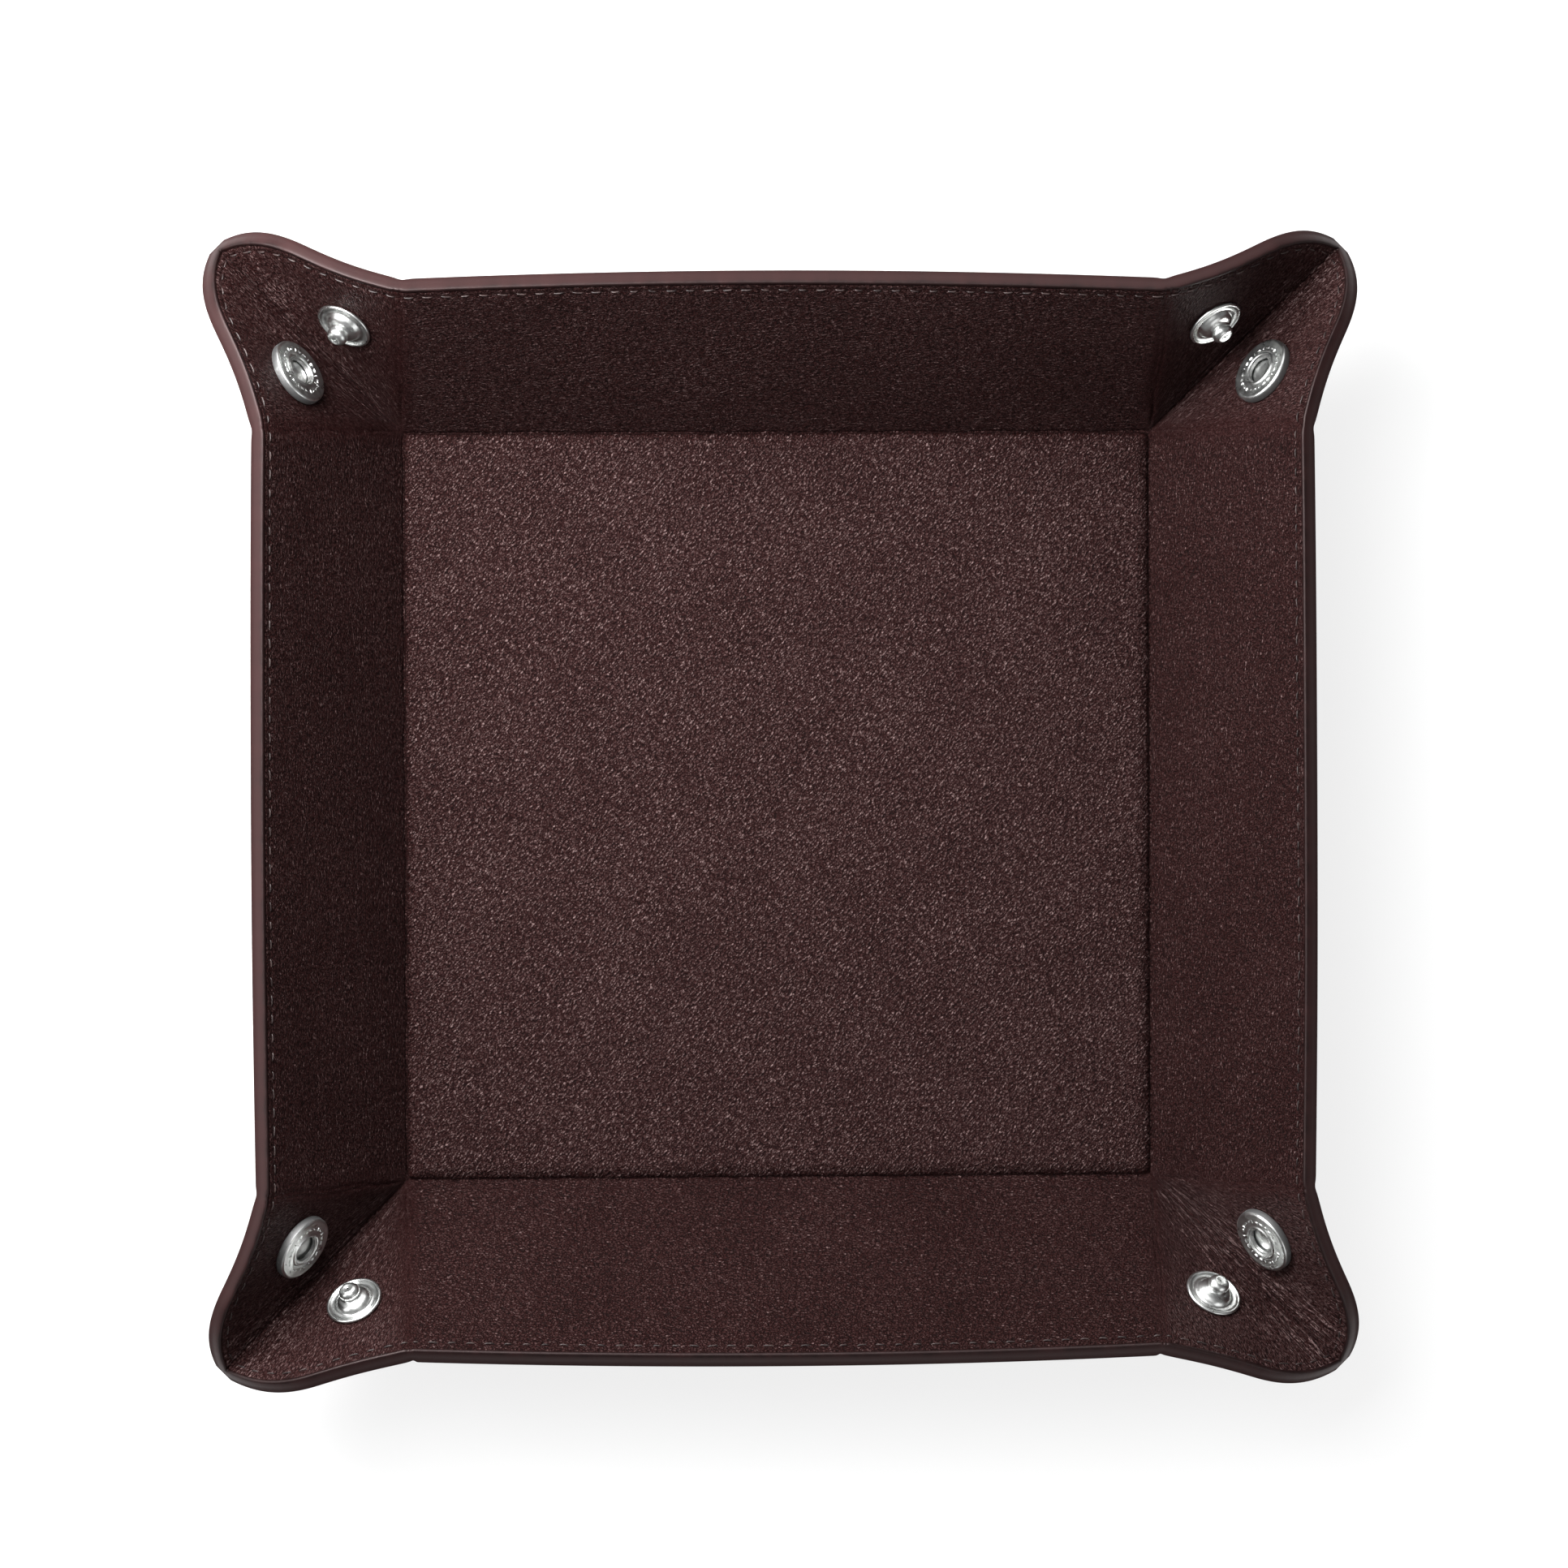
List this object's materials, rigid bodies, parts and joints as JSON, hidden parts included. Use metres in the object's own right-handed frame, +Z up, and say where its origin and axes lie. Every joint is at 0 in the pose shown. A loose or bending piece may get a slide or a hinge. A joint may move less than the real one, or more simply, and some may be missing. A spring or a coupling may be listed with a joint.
{
  "type": "folding dice tray",
  "caption": "Square stitched leather tray that folds from flat, with a stiffened base, creased walls and corner flaps that fasten with press snaps, stored with the snaps open.",
  "frame": {"origin": "centre of the base's underside", "axes": "+Z up, +X towards the right wall, +Y towards the back wall; the right and left walls carry the flap halves with the sockets"},
  "size_m": [0.2162, 0.2162, 0.0388],
  "materials": {
    "leather": "semi-gloss pebbled",
    "thread": "waxed",
    "board": "matte",
    "snap_metal": "polished nickel plate",
    "spring_steel": "plain"
  },
  "bodies": {
    "base": {"base_outer_leather": "leather", "base_board": "board", "base_inner_leather": "leather"},
    "wall_right": {"wall_right_inner_leather": "leather", "wall_right_outer_leather": "leather", "wall_right_seam": "thread"},
    "wall_back": {"wall_back_inner_leather": "leather", "wall_back_outer_leather": "leather", "wall_back_seam": "thread"},
    "wall_left": {"wall_left_inner_leather": "leather", "wall_left_outer_leather": "leather", "wall_left_seam": "thread"},
    "wall_front": {"wall_front_inner_leather": "leather", "wall_front_outer_leather": "leather", "wall_front_seam": "thread"},
    "socket_flap_back_right": {"socket_flap_back_right_inner_leather": "leather", "socket_flap_back_right_outer_leather": "leather", "socket_flap_back_right_seam": "thread", "snap_cap_back_right": "snap_metal", "snap_socket_back_right": "snap_metal", "snap_spring_back_right": "spring_steel"},
    "stud_flap_back_right": {"stud_flap_back_right_inner_leather": "leather", "stud_flap_back_right_outer_leather": "leather", "stud_flap_back_right_seam": "thread", "snap_stud_back_right": "snap_metal", "snap_post_back_right": "snap_metal"},
    "socket_flap_back_left": {"socket_flap_back_left_inner_leather": "leather", "socket_flap_back_left_outer_leather": "leather", "socket_flap_back_left_seam": "thread", "snap_cap_back_left": "snap_metal", "snap_socket_back_left": "snap_metal", "snap_spring_back_left": "spring_steel"},
    "stud_flap_back_left": {"stud_flap_back_left_inner_leather": "leather", "stud_flap_back_left_outer_leather": "leather", "stud_flap_back_left_seam": "thread", "snap_stud_back_left": "snap_metal", "snap_post_back_left": "snap_metal"},
    "socket_flap_front_right": {"socket_flap_front_right_inner_leather": "leather", "socket_flap_front_right_outer_leather": "leather", "socket_flap_front_right_seam": "thread", "snap_cap_front_right": "snap_metal", "snap_socket_front_right": "snap_metal", "snap_spring_front_right": "spring_steel"},
    "stud_flap_front_right": {"stud_flap_front_right_inner_leather": "leather", "stud_flap_front_right_outer_leather": "leather", "stud_flap_front_right_seam": "thread", "snap_stud_front_right": "snap_metal", "snap_post_front_right": "snap_metal"},
    "socket_flap_front_left": {"socket_flap_front_left_inner_leather": "leather", "socket_flap_front_left_outer_leather": "leather", "socket_flap_front_left_seam": "thread", "snap_cap_front_left": "snap_metal", "snap_socket_front_left": "snap_metal", "snap_spring_front_left": "spring_steel"},
    "stud_flap_front_left": {"stud_flap_front_left_inner_leather": "leather", "stud_flap_front_left_outer_leather": "leather", "stud_flap_front_left_seam": "thread", "snap_stud_front_left": "snap_metal", "snap_post_front_left": "snap_metal"}
  },
  "joints": [
    {"name": "wall_right_fold", "type": "hinge", "parent": "base", "child": "wall_right", "pos_m": [0.0717, 0, 0.0028], "axis": [0, -1, 0], "range_deg": [-50, 20]},
    {"name": "wall_back_fold", "type": "hinge", "parent": "base", "child": "wall_back", "pos_m": [0, 0.0717, 0.0028], "axis": [1, 0, 0], "range_deg": [-50, 20]},
    {"name": "wall_left_fold", "type": "hinge", "parent": "base", "child": "wall_left", "pos_m": [-0.0717, 0, 0.0028], "axis": [0, 1, 0], "range_deg": [-50, 20]},
    {"name": "wall_front_fold", "type": "hinge", "parent": "base", "child": "wall_front", "pos_m": [0, -0.0717, 0.0028], "axis": [-1, 0, 0], "range_deg": [-50, 20]},
    {"name": "socket_flap_back_right_crease", "type": "hinge", "parent": "wall_right", "child": "socket_flap_back_right", "pos_m": [0.0717, 0.0717, 0.0028], "axis": [-0.5736, 0, -0.8192], "range_deg": [-23.14, 9.26]},
    {"name": "stud_flap_back_right_crease", "type": "hinge", "parent": "socket_flap_back_right", "child": "stud_flap_back_right", "pos_m": [0.0717, 0.0717, 0.0028], "axis": [0.6443, 0.6443, 0.4121], "range_deg": [-100.26, 40.11]},
    {"name": "socket_flap_back_left_crease", "type": "hinge", "parent": "wall_left", "child": "socket_flap_back_left", "pos_m": [-0.0717, 0.0717, 0.0028], "axis": [-0.5736, 0, 0.8192], "range_deg": [-23.14, 9.26]},
    {"name": "stud_flap_back_left_crease", "type": "hinge", "parent": "socket_flap_back_left", "child": "stud_flap_back_left", "pos_m": [-0.0717, 0.0717, 0.0028], "axis": [0.6443, -0.6443, -0.4121], "range_deg": [-100.26, 40.11]},
    {"name": "socket_flap_front_right_crease", "type": "hinge", "parent": "wall_right", "child": "socket_flap_front_right", "pos_m": [0.0717, -0.0717, 0.0028], "axis": [0.5736, 0, 0.8192], "range_deg": [-23.14, 9.26]},
    {"name": "stud_flap_front_right_crease", "type": "hinge", "parent": "socket_flap_front_right", "child": "stud_flap_front_right", "pos_m": [0.0717, -0.0717, 0.0028], "axis": [-0.6443, 0.6443, -0.4121], "range_deg": [-100.26, 40.11]},
    {"name": "socket_flap_front_left_crease", "type": "hinge", "parent": "wall_left", "child": "socket_flap_front_left", "pos_m": [-0.0717, -0.0717, 0.0028], "axis": [0.5736, 0, -0.8192], "range_deg": [-23.14, 9.26]},
    {"name": "stud_flap_front_left_crease", "type": "hinge", "parent": "socket_flap_front_left", "child": "stud_flap_front_left", "pos_m": [-0.0717, -0.0717, 0.0028], "axis": [-0.6443, -0.6443, 0.4121], "range_deg": [-100.26, 40.11]}
  ],
  "couplings": [
    {"joint": "wall_back_fold", "follows": "wall_right_fold", "ratio": 1},
    {"joint": "wall_left_fold", "follows": "wall_right_fold", "ratio": 1},
    {"joint": "wall_front_fold", "follows": "wall_right_fold", "ratio": 1},
    {"joint": "socket_flap_back_right_crease", "follows": "wall_right_fold", "ratio": 0.4625},
    {"joint": "stud_flap_back_right_crease", "follows": "wall_right_fold", "ratio": 2.005},
    {"joint": "socket_flap_back_left_crease", "follows": "wall_right_fold", "ratio": 0.4625},
    {"joint": "stud_flap_back_left_crease", "follows": "wall_right_fold", "ratio": 2.005},
    {"joint": "socket_flap_front_right_crease", "follows": "wall_right_fold", "ratio": 0.4625},
    {"joint": "stud_flap_front_right_crease", "follows": "wall_right_fold", "ratio": 2.005},
    {"joint": "socket_flap_front_left_crease", "follows": "wall_right_fold", "ratio": 0.4625},
    {"joint": "stud_flap_front_left_crease", "follows": "wall_right_fold", "ratio": 2.005}
  ]
}
